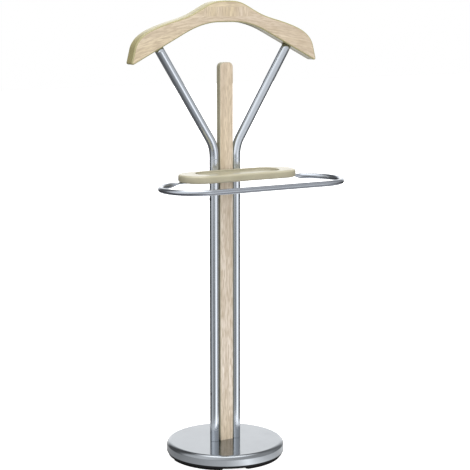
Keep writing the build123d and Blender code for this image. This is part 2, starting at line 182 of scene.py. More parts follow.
class Shape:
    """Gathers the faces of one piece, then makes them into one mesh object."""

    def __init__(self):
        self.points = []
        self.rubbing_and_painted_light = []
        self.faces = []

    def ring(self, points, rubbing_and_painted_light=0.0):
        """Adds points and gives their indices."""
        first = len(self.points)
        self.points.extend(points)
        self.rubbing_and_painted_light.extend([rubbing_and_painted_light] * len(points))
        return list(range(first, first + len(points)))

    def face(self, corners, uvs, slot=0, smooth=True):
        """Adds one face, whose slot is its place in the piece's list of materials."""
        self.faces.append((corners, uvs, slot, smooth))

    def cap(self, ring):
        """Flat face over a whole ring."""
        uvs = [(self.points[i].x, self.points[i].y) for i in ring]
        self.face(ring, uvs, smooth=False)

    def skin(self, rings, closed=False, slots=None, rubbing_and_painted_light=None):
        """Quads between neighbouring rings. u runs round and v along, in metres."""
        rubbing_and_painted_light = rubbing_and_painted_light or [0.0] * len(rings)
        rows = [self.ring(ring, share) for ring, share in zip(rings, rubbing_and_painted_light)]
        widest = max(rings, key=perimeter)
        around = [0.0]
        for here, there in zip(widest, widest[1:] + widest[:1]):
            around.append(around[-1] + (there - here).length)
        count = len(rings)
        along = 0.0
        for k in range(count if closed else count - 1):
            low, high = rows[k], rows[(k + 1) % count]
            step = sum((self.points[b] - self.points[a]).length for a, b in zip(low, high)) / len(low)
            for j in range(len(low)):
                following = (j + 1) % len(low)
                corners = [low[j], low[following], high[following], high[j]]
                uvs = [(around[j], along), (around[j + 1], along),
                       (around[j + 1], along + step), (around[j], along + step)]
                self.face(corners, uvs, slots[k] if slots else 0)
            along += step
        return rows

    def build(self, name, materials, slot, *nodes):
        """Mesh object that stands for the CAD nodes."""
        mesh = bpy.data.meshes.new(name)
        mesh.from_pydata([p + AXIS for p in self.points], [], [face[0] for face in self.faces])
        layer = mesh.uv_layers.new(name="UVMap")
        for polygon, (_, uvs, index, smooth) in zip(mesh.polygons, self.faces):
            polygon.material_index = index
            polygon.use_smooth = smooth
            for loop, uv in zip(polygon.loop_indices, uvs):
                layer.data[loop].uv = uv
        # Each point's rubbing and painted light: 1 for a rubbed edge with a painted highlight, -1 for
        # painted shade in a cove
        edge = mesh.attributes.new("edge", "FLOAT", "POINT")
        edge.data.foreach_set("value", self.rubbing_and_painted_light)
        mesh.update()
        loose = bmesh.new()
        loose.from_mesh(mesh)
        bmesh.ops.recalc_face_normals(loose, faces=loose.faces)
        loose.to_mesh(mesh)
        loose.free()
        for material in materials:
            mesh.materials.append(material)
        piece = bpy.data.objects.new(name, mesh)
        bpy.context.scene.collection.objects.link(piece)
        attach(piece, "root")
        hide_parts(*nodes)


def perimeter(ring):
    """Length round a closed ring."""
    return sum((there - here).length for here, there in zip(ring, ring[1:] + ring[:1]))


def arc(centre, radius, start, end, steps):
    """Points (a, b) on an arc, its angles in degrees."""
    angles = [math.radians(start + (end - start) * k / steps) for k in range(steps + 1)]
    return [(centre[0] + radius * math.cos(t), centre[1] + radius * math.sin(t)) for t in angles]


def circle(radius, height, count, centre=(0.0, 0.0)):
    """Level ring about an upright axis."""
    turns = [2 * math.pi * k / count for k in range(count)]
    return [Vector((centre[0] + radius * math.cos(t), centre[1] + radius * math.sin(t), height))
            for t in turns]


def ease(share):
    """Share between 0 and 1 that starts and ends gently."""
    return share * share * (3 - 2 * share)


def rounding(radius, steps):
    """Pairs (inset, rise) of a rounded edge, from the flat face out to the side."""
    angles = [math.pi / 2 * k / steps for k in range(steps + 1)]
    return [(radius * (1 - math.sin(t)), radius * (1 - math.cos(t))) for t in angles]


def spline(points, start, end, steps):
    """Points on a smooth curve through the given ones, with its end directions given."""
    p = np.array(points, float)
    gaps = np.linalg.norm(np.diff(p, axis=0), axis=1)
    count = len(p)
    matrix = np.zeros((count, count))
    right = np.zeros((count, 2))
    matrix[0, 0] = matrix[-1, -1] = 1
    right[0] = np.array(start, float) / np.linalg.norm(start)
    right[-1] = np.array(end, float) / np.linalg.norm(end)
    for i in range(1, count - 1):
        before, after = gaps[i - 1], gaps[i]
        matrix[i, i - 1 : i + 2] = after, 2 * (before + after), before
        right[i] = 3 * (after / before * (p[i] - p[i - 1]) + before / after * (p[i + 1] - p[i]))
    slopes = np.linalg.solve(matrix, right)
    curve = []
    for i in range(count - 1):
        for k in range(steps):
            t = k / steps
            curve.append((2 * t**3 - 3 * t**2 + 1) * p[i] + (t**3 - 2 * t**2 + t) * gaps[i] * slopes[i]
                         + (3 * t**2 - 2 * t**3) * p[i + 1] + (t**3 - t**2) * gaps[i] * slopes[i + 1])
    return [tuple(q) for q in curve] + [tuple(p[-1])]


def board_rings(depth, edge, steps, supports):
    """Pairs (inset, place) from the front of an upright board to its back, with rounded edges."""
    front = [(edge + support, -depth / 2) for support in supports]
    front += [(margin, rise - depth / 2) for margin, rise in rounding(edge, steps)]
    return front + [(margin, -y) for margin, y in reversed(front)]


def board_slots(levels, flat):
    """Material of each strip between rings: 0 for the flat strips at front and back, else 1."""
    last = len(levels) - 2
    return [0 if min(k, last - k) < flat else 1 for k in range(last + 1)]


def board_wear_and_highlight(levels, edge):
    """Rubbing and painted highlight of each ring of a board: 1 on the rounded edges."""
    return [1.0 if 0 < margin < edge else 0.0 for margin, _ in levels]


def resample(line, shares):
    """Points on a polyline at shares of its length."""
    p = np.array(line, float)
    reach = np.concatenate([[0], np.cumsum(np.linalg.norm(np.diff(p, axis=0), axis=1))])
    wanted = np.array(shares) * reach[-1]
    return [(float(x), float(y)) for x, y in
            zip(np.interp(wanted, reach, p[:, 0]), np.interp(wanted, reach, p[:, 1]))]


def inset(outline, distance):
    """Closed outline moved inwards. Its points run clockwise."""
    moved = []
    for before, here, after in zip(outline[-1:] + outline[:-1], outline, outline[1:] + outline[:1]):
        run, rise = after[0] - before[0], after[1] - before[1]
        length = math.hypot(run, rise)
        moved.append((here[0] + rise / length * distance, here[1] - run / length * distance))
    return moved


# Materials ---------------------------------------------------------------------------------

class Recipe:
    """Node tree of a material or world under construction."""

    def __init__(self, owner):
        owner.use_nodes = True
        self.owner = owner
        self.tree = owner.node_tree
        self.tree.nodes.clear()

    def node(self, kind, sockets=None, **settings):
        """New node with its sockets given as values or as other nodes' outputs."""
        made = self.tree.nodes.new("ShaderNode" + kind)
        for name, value in settings.items():
            setattr(made, name, value)
        for name, value in (sockets or {}).items():
            if isinstance(value, bpy.types.NodeSocket):
                self.tree.links.new(value, made.inputs[name])
            else:
                made.inputs[name].default_value = value
        return made

    def coordinates(self, kind, scale):
        """Object or UV coordinates in metres, stretched along each axis."""
        source = self.node("TexCoord").outputs[kind]
        return self.node("VectorMath", {0: source, 1: scale}, operation="MULTIPLY").outputs[0]

    def noise(self, vector, detail, distortion=0.0):
        """Noise about 0.5, whose grain is as large as one unit of the vector."""
        sockets = {"Vector": vector, "Scale": 1.0, "Detail": detail, "Roughness": 0.55,
                   "Distortion": distortion}
        return self.node("TexNoise", sockets).outputs[0]

    def maths(self, operation, a, b=0.0):
        return self.node("Math", {0: a, 1: b}, operation=operation).outputs[0]

    def between(self, value, low, high, to_low=0.0, to_high=1.0):
        """Value carried from one range to another, with its ends held."""
        sockets = {"Value": value, "From Min": low, "From Max": high, "To Min": to_low, "To Max": to_high}
        return self.node("MapRange", sockets).outputs[0]

    def mix(self, share, first, second):
        """Mixed colour. The first and second are colours or colour sockets."""
        made = self.node("Mix", data_type="RGBA")
        for index, value in ((0, share), (6, first), (7, second)):
            if isinstance(value, bpy.types.NodeSocket):
                self.tree.links.new(value, made.inputs[index])
            else:
                made.inputs[index].default_value = (*value, 1.0) if index else value
        return made.outputs[2]

    def bump(self, height, distance, strength):
        sockets = {"Height": height, "Distance": distance, "Strength": strength}
        return self.node("Bump", sockets).outputs[0]

    def edge(self):
        """What the mesh says of its edges: 1 on a rounded edge, for rubbing and a painted highlight, -1 in
        a cove, for painted shade, and 0 elsewhere.
        """
        return self.node("Attribute", attribute_name="edge").outputs["Fac"]

    def from_axis(self):
        """Vector from the foot of the base axis, in metres."""
        place = self.node("TexCoord").outputs["Object"]
        return self.node("VectorMath", {0: place, 1: tuple(AXIS)}, operation="SUBTRACT").outputs[0]

    def length(self, vector):
        return self.node("VectorMath", {0: vector}, operation="LENGTH").outputs["Value"]

    def finish(self, sockets):
        """Puts the shader on and gives the finished material."""
        shader = self.node("BsdfPrincipled", sockets)
        output = self.node("OutputMaterial")
        self.tree.links.new(shader.outputs[0], output.inputs[0])
        return self.owner


def new_material(name):
    return Recipe(bpy.data.materials.new(name))


# Below, a stretch is in grains of noise per metre along each axis, and a range is in levels of noise
MOST = (0.3, 0.7)
BRUSH_LINES = (4200, 22, 1)
BRUSH_BANDS = (160, 5, 1)
SPUN_RINGS = 2600
TUBE_SMUDGES = (22, 22, 9)
COVER_SMUDGES = (16, 16, 16)
COVER_BRIGHT = (0.300, 0.320, 0.343)
COVER_DULL = (0.277, 0.296, 0.318)
TUBE_ROUGHNESS = (0.14, 0.19)
COVER_ROUGHNESS = (0.10, 0.13)
SMUDGE_ROUGHNESS = 0.05
BRUSHED_DEPTH = 0.003 * MM
BRUSHED_STRENGTH = 0.25


def tube_metal(name, low, high):
    """Satin chrome on round tube, brushed lengthwise, its colour between two."""
    r = new_material(name)
    fine = r.noise(r.coordinates("UV", BRUSH_LINES), detail=4)
    broad = r.noise(r.coordinates("UV", BRUSH_BANDS), detail=2)
    smudge = r.noise(r.coordinates("Object", TUBE_SMUDGES), detail=3)
    colour = r.mix(r.between(broad, *MOST), low, high)
    colour = r.mix(r.between(smudge, 0.55, 0.8, 0.0, 0.25), colour, tuple(0.8 * c for c in low))
    rough = r.maths("ADD", r.between(fine, 0.25, 0.75, *TUBE_ROUGHNESS),
                    r.between(smudge, 0.45, 0.8, 0.0, SMUDGE_ROUGHNESS))
    return r.finish({"Base Color": colour, "Metallic": 1.0, "Roughness": rough,
                     "Normal": r.bump(fine, BRUSHED_DEPTH, BRUSHED_STRENGTH)})


def base_metal():
    """Satin chrome on the spun cover, with rings left by the spinning."""
    r = new_material("spun_chrome_cover")
    flat = r.node("VectorMath", {0: r.from_axis(), 1: (1, 1, 0)}, operation="MULTIPLY").outputs[0]
    across_rings = r.maths("MULTIPLY", r.length(flat), SPUN_RINGS)
    rings = r.noise(r.node("CombineXYZ", {"X": across_rings}).outputs[0], detail=3)
    smudge = r.noise(r.coordinates("Object", COVER_SMUDGES), detail=4)
    colour = r.mix(r.between(smudge, 0.35, 0.75), COVER_BRIGHT, COVER_DULL)
    rough = r.maths("ADD", r.between(rings, *MOST, *COVER_ROUGHNESS),
                    r.between(smudge, 0.45, 0.75, 0.0, SMUDGE_ROUGHNESS))
    return r.finish({"Base Color": colour, "Metallic": 1.0, "Roughness": rough,
                     "Normal": r.bump(rings, BRUSHED_DEPTH, BRUSHED_STRENGTH)})


OAK_YELLOW = (0.735, 0.620, 0.425)
OAK_PINK = (0.720, 0.612, 0.490)
# Tone of the painted light half way up the post
OAK_PAINTED_LIGHT_TONE = (0.840, 0.762, 0.680)
OAK_TAN = (0.470, 0.375, 0.262)
OAK_PORE = (0.270, 0.202, 0.130)
# Noises of the grain: stretch across it and along it, detail and distortion
HUE = (30, 1.6, 1, 0.0)
HUE_RANGE = (0.35, 0.65)
PORES = (2600, 70, 2, 0.0)
PORE_RANGE = (0.60, 0.74)
PORE_SHARE = 0.55
THROUGH = 40           # the stretch through the veneer, for all of them
# The tan layers, from broad to fine: the same four, the range over which the tan sets in, and its share
BANDS = (62, 2.6, 2, 0.5), (0.42, 0.72), 0.50
STREAKS = (190, 7, 2, 0.3), (0.42, 0.64), 0.50
FLECKS = (340, 42, 1, 0.2), (0.45, 0.61), 0.68
FINE = (760, 26, 3, 0.0), (0.45, 0.72), 0.34


def oak_colours(r, grain, painted_paleness=0.0):
    """Colour and height of an oak veneer, where the grain is (across, along, depth) in metres."""
    def stretched(across, along, detail, distortion):
        scaled = r.node("VectorMath", {0: grain, 1: (across, along, THROUGH)}, operation="MULTIPLY")
        return r.noise(scaled.outputs[0], detail, distortion)

    colour = r.mix(r.between(stretched(*HUE), *HUE_RANGE), OAK_YELLOW, OAK_PINK)
    # Painted light: mixes towards the painted light tone by the given share
    colour = r.mix(painted_paleness, colour, OAK_PAINTED_LIGHT_TONE)
    for texture, sets_in, share in (BANDS, STREAKS, FLECKS, FINE):
        layer = stretched(*texture)
        colour = r.mix(r.between(layer, *sets_in, 0.0, share), colour, OAK_TAN)
    pores = stretched(*PORES)
    colour = r.mix(r.between(pores, *PORE_RANGE, 0.0, PORE_SHARE), colour, OAK_PORE)
    height = r.maths("SUBTRACT", r.maths("MULTIPLY", layer, 0.4), r.between(pores, *PORE_RANGE))
    return colour, height


OAK_HEIGHTS = (-0.5, 0.4)
OAK_ROUGHNESS = (0.62, 0.48)


def oak(r, grain, painted_paleness=0.0):
    """Finished oak, a little rougher in its pores."""
    colour, height = oak_colours(r, grain, painted_paleness)
    return r.finish({"Base Color": colour, "Roughness": r.between(height, *OAK_HEIGHTS, *OAK_ROUGHNESS),
                     "Normal": r.bump(height, 0.08 * MM, 0.5)})


# The post's veneer is painted palest about this height, as painted light, for this reach up and down, and
# then fades back
PAINTED_LIGHT_HEIGHT = 400.0 * MM
PAINTED_LIGHT_REACH = 220.0 * MM
PAINTED_LIGHT_FADE = 150.0 * MM
PAINTED_LIGHT_SHARE = 0.9


def oak_post():
    """Oak with its grain running up the post, painted paler and pinker half way up as painted light."""
    r = new_material("oak_post")
    place = r.node("SeparateXYZ", {0: r.node("TexCoord").outputs["Object"]})
    grain = r.node("CombineXYZ", {0: place.outputs[0], 1: place.outputs[2], 2: place.outputs[1]})
    away = r.maths("ABSOLUTE", r.maths("SUBTRACT", place.outputs[2], PAINTED_LIGHT_HEIGHT))
    painted_paleness = r.between(away, PAINTED_LIGHT_REACH, PAINTED_LIGHT_REACH + PAINTED_LIGHT_FADE, PAINTED_LIGHT_SHARE, 0.0)
    return oak(r, grain.outputs[0], painted_paleness)


# The upright field in the hanger's crown: half width, height of its middle and half height
FIELD_HALF_WIDTH = 61.0 * MM
FIELD_MIDDLE = 1050.0 * MM
FIELD_HALF_HEIGHT = 11.5 * MM
FIELD_APART = 0.3      # so far through the noise that its grain isn't that of the arms
# The grain of the arms lies partly level and partly along them
LEVEL_SHARE = 0.6
ARM_SHARE = 0.4


def oak_hanger():
    """Oak whose grain leans with the hanger's arms, with a field of upright grain at the crown."""
    r = new_material("oak_hanger")
    coordinates = r.node("TexCoord").outputs
    place = r.node("SeparateXYZ", {0: coordinates["Object"]})
    follow = r.node("SeparateXYZ", {0: coordinates["UV"]})
    level = r.maths("MULTIPLY", place.outputs[2], LEVEL_SHARE)
    across = r.maths("SUBTRACT", level, r.maths("MULTIPLY", follow.outputs[1], ARM_SHARE))
    arm = r.node("CombineXYZ", {0: across, 1: place.outputs[0], 2: 0.0}).outputs[0]
    upright = r.node("CombineXYZ", {0: place.outputs[0], 1: place.outputs[2], 2: FIELD_APART}).outputs[0]
    aside = r.maths("ABSOLUTE", place.outputs[0])
    above = r.maths("ABSOLUTE", r.maths("SUBTRACT", place.outputs[2], FIELD_MIDDLE))
    inside = r.maths("MULTIPLY", r.between(aside, FIELD_HALF_WIDTH - MM, FIELD_HALF_WIDTH, 1.0, 0.0),
                     r.between(above, FIELD_HALF_HEIGHT - MM, FIELD_HALF_HEIGHT, 1.0, 0.0))
    return oak(r, r.mix(inside, arm, upright))


MOTTLE = (14, 14, 30)
PEEL = (260, 260, 260)
# Share of the rounded edges' rubbing and painted highlight
RUBBED_AND_HIGHLIGHT_SHARE = 0.35
# Share and darkness of the painted shade in the coves
COVE_SHADE_SHARE = 0.20
COVE_SHADE_DARKNESS = 0.3
LACQUER_ROUGHNESS = (0.34, 0.42)


def lacquer(name, low, high, worn_and_highlit):
    """Faintly mottled gloss lacquer over wood, lighter on the edges from rubbing and a painted highlight,
    with painted shade in the coves.
    """
    r = new_material(name)
    mottle = r.noise(r.coordinates("Object", MOTTLE), detail=4)
    peel = r.noise(r.coordinates("Object", PEEL), detail=2)
    cove_shade = tuple(COVE_SHADE_DARKNESS * c for c in low)
    colour = r.mix(r.between(mottle, 0.35, 0.7), low, high)
    # Rounded edges lighter: rubbing and a painted highlight
    colour = r.mix(r.between(r.edge(), 0.0, 1.0, 0.0, RUBBED_AND_HIGHLIGHT_SHARE), colour, worn_and_highlit)
    # Coves darker: painted shade in the recess
    colour = r.mix(r.between(r.edge(), -1.0, 0.0, COVE_SHADE_SHARE, 0.0), colour, cove_shade)
    return r.finish({"Base Color": colour, "Roughness": r.between(mottle, *MOST, *LACQUER_ROUGHNESS),
                     "Coat Weight": 0.4, "Coat Roughness": 0.07,
                     "Normal": r.bump(peel, 0.02 * MM, 0.2)})


def plain(name, low, high, rough, scale, metallic=0.0, depth=0.05 * MM, specular=0.5):
    """Even material whose colour wanders between two values, and its roughness about one."""
    r = new_material(name)
    grain = r.noise(r.coordinates("Object", (scale,) * 3), detail=4)
    colour = r.mix(r.between(grain, *MOST), low, high)
    spread = 0.06
    return r.finish({"Base Color": colour, "Metallic": metallic,
                     "Roughness": r.between(grain, *MOST, rough - spread, rough + spread),
                     "Specular IOR Level": specular, "Normal": r.bump(grain, depth, 0.4)})


TUBE_METAL = tube_metal("satin_chrome_tube", (0.585, 0.630, 0.690), (0.635, 0.680, 0.740))
BAR_METAL = tube_metal("satin_chrome_bar", (0.400, 0.430, 0.480), (0.450, 0.480, 0.530))
BASE_METAL = base_metal()
OAK_POST = oak_post()
OAK_HANGER = oak_hanger()
# The third colour is that of the rounded edges, rubbed and lightened by a painted highlight
CREAM = lacquer("cream_lacquer", (0.440, 0.405, 0.285), (0.390, 0.357, 0.243), (0.50, 0.47, 0.35))
RIM = lacquer("rim_lacquer", (0.385, 0.342, 0.165), (0.330, 0.290, 0.132), (0.46, 0.43, 0.25))
PLASTIC = plain("black_plastic", (0.008, 0.008, 0.009), (0.014, 0.014, 0.015), 0.56, 1500, specular=0.15)
RUBBER = plain("foot_rubber", (0.007, 0.007, 0.007), (0.012, 0.011, 0.011), 0.78, 900, specular=0.1)
ZINC = plain("screw_zinc", (0.46, 0.46, 0.48), (0.58, 0.58, 0.60), 0.30, 700, 1.0)
BLACKENED = plain("blackened_screw", (0.030, 0.032, 0.036), (0.060, 0.062, 0.068), 0.38, 700, 1.0)
PLUG = plain("turned_plug", (0.38, 0.38, 0.39), (0.46, 0.46, 0.47), 0.42, 500, 1.0)
IRON = plain("cast_iron", (0.05, 0.05, 0.05), (0.12, 0.12, 0.12), 0.75, 260, 0.2, 0.4 * MM)


# Base --------------------------------------------------------------------------------------

def cover_profile():
    """Pairs (radius, height) round the wall of the cover, with the centre of its top left open."""
    outer = arc((BASE_RADIUS - COVER_HEM, COVER_BOTTOM + COVER_HEM), COVER_HEM, -90, 0,
                SMALL_EDGE_STEPS)
    outer += [(BASE_RADIUS, COVER_BOTTOM + 4 * COVER_HEM)]
    centre = (BASE_RADIUS - COVER_SHOULDER, COVER_TOP - COVER_SHOULDER)
    shoulder = arc(centre, COVER_SHOULDER, 0, 90, CORNER_STEPS)
    flat = [(BASE_RADIUS - COVER_SHOULDER - inward, COVER_TOP) for inward in COVER_TOP_RINGS]
    return outer + shoulder + flat


def base_cover():
    shape = Shape()
    outer = cover_profile()
    rows = shape.skin([circle(r, z, COVER_SIDES) for r, z in outer])
    shape.cap(rows[-1])
    inner_shoulder = COVER_SHOULDER - COVER_WALL
    centre = (BASE_RADIUS - COVER_SHOULDER, COVER_TOP - COVER_SHOULDER)
    inner = [(BASE_RADIUS - COVER_WALL, COVER_BOTTOM)]
    inner += arc(centre, inner_shoulder, 0, 90, INNER_CORNER_STEPS)
    inside = shape.skin([circle(r, z, COVER_SIDES) for r, z in inner])
    shape.cap(inside[-1])
    for j in range(COVER_SIDES):
        following = (j + 1) % COVER_SIDES
        shape.face([rows[0][j], rows[0][following], inside[0][following], inside[0][j]], [(0, 0)] * 4)
    shape.build("base_cover_look", [BASE_METAL], "base_metal", "base_cover")


def foot_ring(clocking, margin, height):
    """Outline of one curved foot, drawn in by a margin. Its middle stands at the clocking, in degrees."""
    middle_radius = FOOT_OUTER_RADIUS - FOOT_WIDTH / 2
    half_width = FOOT_WIDTH / 2 - margin
    half_sweep = FOOT_ARC / 2 - math.degrees(math.asin(FOOT_WIDTH / 2 / middle_radius))
    first, last = clocking - half_sweep, clocking + half_sweep
    ends = [arc((0, 0), middle_radius, turn, turn, 1)[0] for turn in (first, last)]
    outline = arc((0, 0), middle_radius + half_width, first, last, LENGTHWISE_STEPS)
    outline += arc(ends[1], half_width, last, last + 180, FOOT_END_STEPS)[1:-1]
    outline += arc((0, 0), middle_radius - half_width, last, first, LENGTHWISE_STEPS)
    outline += arc(ends[0], half_width, first + 180, first + 360, FOOT_END_STEPS)[1:-1]
    return [Vector((x, y, height)) for x, y in outline]


# The sole of a foot with its groove, from its middle outwards: (margin, rise) in mm
SOLE = [(6.6, 0.0), (5.4, 0.0), (5.2, 0.5), (4.2, 0.5), (4.0, 0.0)]


def rubber_feet():
    """Curved feet with a shallow groove moulded along the sole."""
    profile = [(margin * MM, rise * MM) for margin, rise in SOLE]
    profile += rounding(FOOT_EDGE, SMALL_EDGE_STEPS) + [(0.0, FOOT_HEIGHT)]
    shape = Shape()
    for k in range(FOOT_COUNT):
        clocking = FOOT_CLOCKING + 360 * k / FOOT_COUNT
        rows = shape.skin([foot_ring(clocking, margin, rise) for margin, rise in profile])
        shape.cap(rows[0])
        shape.cap(rows[-1])
    shape.build("rubber_feet_look", [RUBBER], "foot_rubber", "rubber_feet")


# Uprights ----------------------------------------------------------------------------------

def lower_tube(side):
    """One of the two straight tubes. The side is -1 for left and 1 for right."""
    bore = TUBE_RADIUS - TUBE_WALL
    cut = TUBE_CHAMFER
    profile = [(TUBE_RADIUS - cut, COVER_TOP), (TUBE_RADIUS, COVER_TOP + cut)]
    reach = TUBE_JOINT - COVER_TOP - 4 * cut
    profile += [(TUBE_RADIUS, COVER_TOP + 2 * cut + reach * k / CORNER_STEPS)
                for k in range(CORNER_STEPS + 1)]
    profile += [(TUBE_RADIUS, TUBE_JOINT - cut), (TUBE_RADIUS - cut, TUBE_JOINT)]
    profile += [(bore, TUBE_JOINT), (bore, COVER_TOP)]
    shape = Shape()
    shape.skin([circle(r, z, TUBE_SIDES, (side * TUBE_X, 0)) for r, z in profile], closed=True)
    name = "lower_tube_" + ("right" if side > 0 else "left")
    shape.build(name + "_look", [TUBE_METAL], "tube_metal", name)


def post_outline(margin):
    """Front outline (x, z) of the post, drawn in by a margin except at the foot."""
    half = POST_WIDTH / 2 - margin
    radius = POST_CORNER - margin
    centre = (POST_WIDTH / 2 - POST_CORNER, POST_TOP - POST_CORNER)
    right = arc(centre, radius, 0, 90, POST_CORNER_STEPS)
    left = [(-x, z) for x, z in reversed(right)]
    sides = [COVER_TOP + (centre[1] - COVER_TOP) * k / LENGTHWISE_STEPS for k in range(LENGTHWISE_STEPS)]
    return [(half, z) for z in sides] + right + left + [(-half, z) for z in reversed(sides)]


def post():
    levels = board_rings(POST_DEPTH, POST_EDGE, SMALL_EDGE_STEPS, (WIDE_SUPPORT, EDGE_SUPPORT))
    rings = [[Vector((x, y, z)) for x, z in post_outline(margin)] for margin, y in levels]
    shape = Shape()
    rows = shape.skin(rings, slots=board_slots(levels, 3), rubbing_and_painted_light=board_wear_and_highlight(levels, POST_EDGE))
    shape.cap(rows[0])
    shape.cap(rows[-1])
    shape.build("post_look", [OAK_POST, CREAM], "oak", "post")


# Arms --------------------------------------------------------------------------------------

# The straight line of the hanger's underside where the arms meet it
UNDERSIDE = (HANGER_ARCH[0][0] * MM, HANGER_ARCH[0][1] * MM)
UNDERSIDE_SLOPE = (HANGER_ARCH[0][1] - HANGER_TIP[1]) / (HANGER_TIP[0] - HANGER_ARCH[0][0])
# The arm's level direction, the level direction across it, and the way its straight run points
ARM_LEVEL = Vector((math.cos(ARM_TURN_BACK), math.sin(ARM_TURN_BACK), 0))
ARM_ACROSS = Vector((-math.sin(ARM_TURN_BACK), math.cos(ARM_TURN_BACK), 0))
ARM_RUN = ARM_LEVEL * math.sin(ARM_ANGLE) + Vector((0, 0, math.cos(ARM_ANGLE)))


ARM_SQUARE_SHARE = 0.96     # the rings are square to the straight run for this share of it


def arm_ring(centre, angle, radius):
    """Ring round the arm's axis where it leans by an angle."""
    normal = ARM_LEVEL * math.cos(angle) - Vector((0, 0, math.sin(angle)))
    turns = [2 * math.pi * k / TUBE_SIDES for k in range(TUBE_SIDES)]
    return [centre + (normal * math.cos(t) + ARM_ACROSS * math.sin(t)) * radius for t in turns]


def to_underside(point):
    """Point carried along the arm until it meets the hanger's underside."""
    height = UNDERSIDE_SLOPE * (point.x - UNDERSIDE[0]) + point.z - UNDERSIDE[1]
    return point - ARM_RUN * (height / (UNDERSIDE_SLOPE * ARM_RUN.x + ARM_RUN.z))


def arm_run(radius):
    """Rings of that radius from the joint up to the hanger."""
    tangent = ARM_BEND * math.tan(ARM_ANGLE / 2)
    foot = Vector((TUBE_X, 0, ARM_CORNER - tangent))
    rings = []
    for k in range(BEND_STEPS + 1):
        angle = ARM_ANGLE * k / BEND_STEPS
        centre = foot + (ARM_LEVEL * (1 - math.cos(angle)) + Vector((0, 0, math.sin(angle)))) * ARM_BEND
        rings.append(arm_ring(centre, angle, radius))
    top = to_underside(centre)
    for k in range(1, ARM_RUN_STEPS + 1):
        place = centre.lerp(top, ARM_SQUARE_SHARE * k / ARM_RUN_STEPS)
        rings.append(arm_ring(place, ARM_ANGLE, radius))
    rings.append([to_underside(point) for point in rings[-1]])
    return rings


def arm_tube(side):
    """One of the two bent tubes, from its spigot to the hanger."""
    cut = TUBE_CHAMFER
    bore = TUBE_RADIUS - TUBE_WALL
    spigot = bore - SPIGOT_CLEARANCE
    foot = [(bore, TUBE_JOINT + SPIGOT_SHOULDER), (bore - TUBE_WALL, TUBE_JOINT + SPIGOT_SHOULDER),
            (bore - TUBE_WALL, SPIGOT_BOTTOM), (spigot - cut, SPIGOT_BOTTOM), (spigot, SPIGOT_BOTTOM + cut),
            (spigot, TUBE_JOINT), (TUBE_RADIUS - cut, TUBE_JOINT), (TUBE_RADIUS, TUBE_JOINT + cut),
            (TUBE_RADIUS, TUBE_JOINT + 2 * cut)]
    straight = [[Vector((TUBE_X, 0, z)) + offset for offset in arm_ring(Vector(), 0.0, r)] for r, z in foot]
    rings = straight + arm_run(TUBE_RADIUS) + list(reversed(arm_run(bore)))
    if side < 0:
        rings = [[Vector((-p.x, p.y, p.z)) for p in ring] for ring in rings]
    shape = Shape()
    shape.skin(rings, closed=True)
    name = "arm_tube_" + ("right" if side > 0 else "left")
    shape.build(name + "_look", [TUBE_METAL], "tube_metal", name)


# Hanger ------------------------------------------------------------------------------------

HALF_COLUMNS = 110
CROWDING = 1.7         # above 1 the columns stand closer towards the tip


def hanger_edges():
    """Half of the hanger's top and bottom edges, both from the middle out to the rounded tip."""
    brow, tip, foot = (np.array(p, float) for p in (HANGER_TOP[-1], HANGER_TIP, HANGER_ARCH[0]))
    top = spline(HANGER_TOP, (1, 0), tip - brow, CORNER_STEPS)
    arch = spline(HANGER_ARCH, (-1, UNDERSIDE_SLOPE), (-1, 0), CORNER_STEPS)
    up = (brow - tip) / np.linalg.norm(brow - tip)
    back = (foot - tip) / np.linalg.norm(foot - tip)
    radius = HANGER_TIP_RADIUS / MM
    half_angle = math.acos(float(up @ back)) / 2
    bisector = (up + back) / np.linalg.norm(up + back)
    centre = tip + bisector * radius / math.sin(half_angle)
    first = tip + up * radius / math.tan(half_angle) - centre
    last = tip + back * radius / math.tan(half_angle) - centre
    turn = math.acos(float(first @ last) / radius**2)

    def tip_point(share):
        a, b = math.sin((1 - share) * turn), math.sin(share * turn)
        return tuple(centre + (first * a + last * b) / math.sin(turn))

    half_turn = [k / (2 * TIP_STEPS) for k in range(TIP_STEPS + 1)]
    top += [tip_point(share) for share in half_turn]
    bottom = list(reversed(arch)) + [tip_point(1 - share) for share in half_turn]
    shares = [1 - (1 - k / HALF_COLUMNS) ** CROWDING for k in range(HALF_COLUMNS + 1)]
    edges = [resample(edge, shares) for edge in (top, bottom)]
    return [[(x * MM, z * MM) for x, z in edge] for edge in edges]


def hanger_outline():
    """Whole outline, clockwise from the left tip along the top, and the points in its top edge."""
    top, bottom = hanger_edges()
    over = [(-x, z) for x, z in reversed(top)] + top[1:]
    under = [(-x, z) for x, z in reversed(bottom)] + bottom[1:]
    return over + list(reversed(under))[1:-1], len(over)


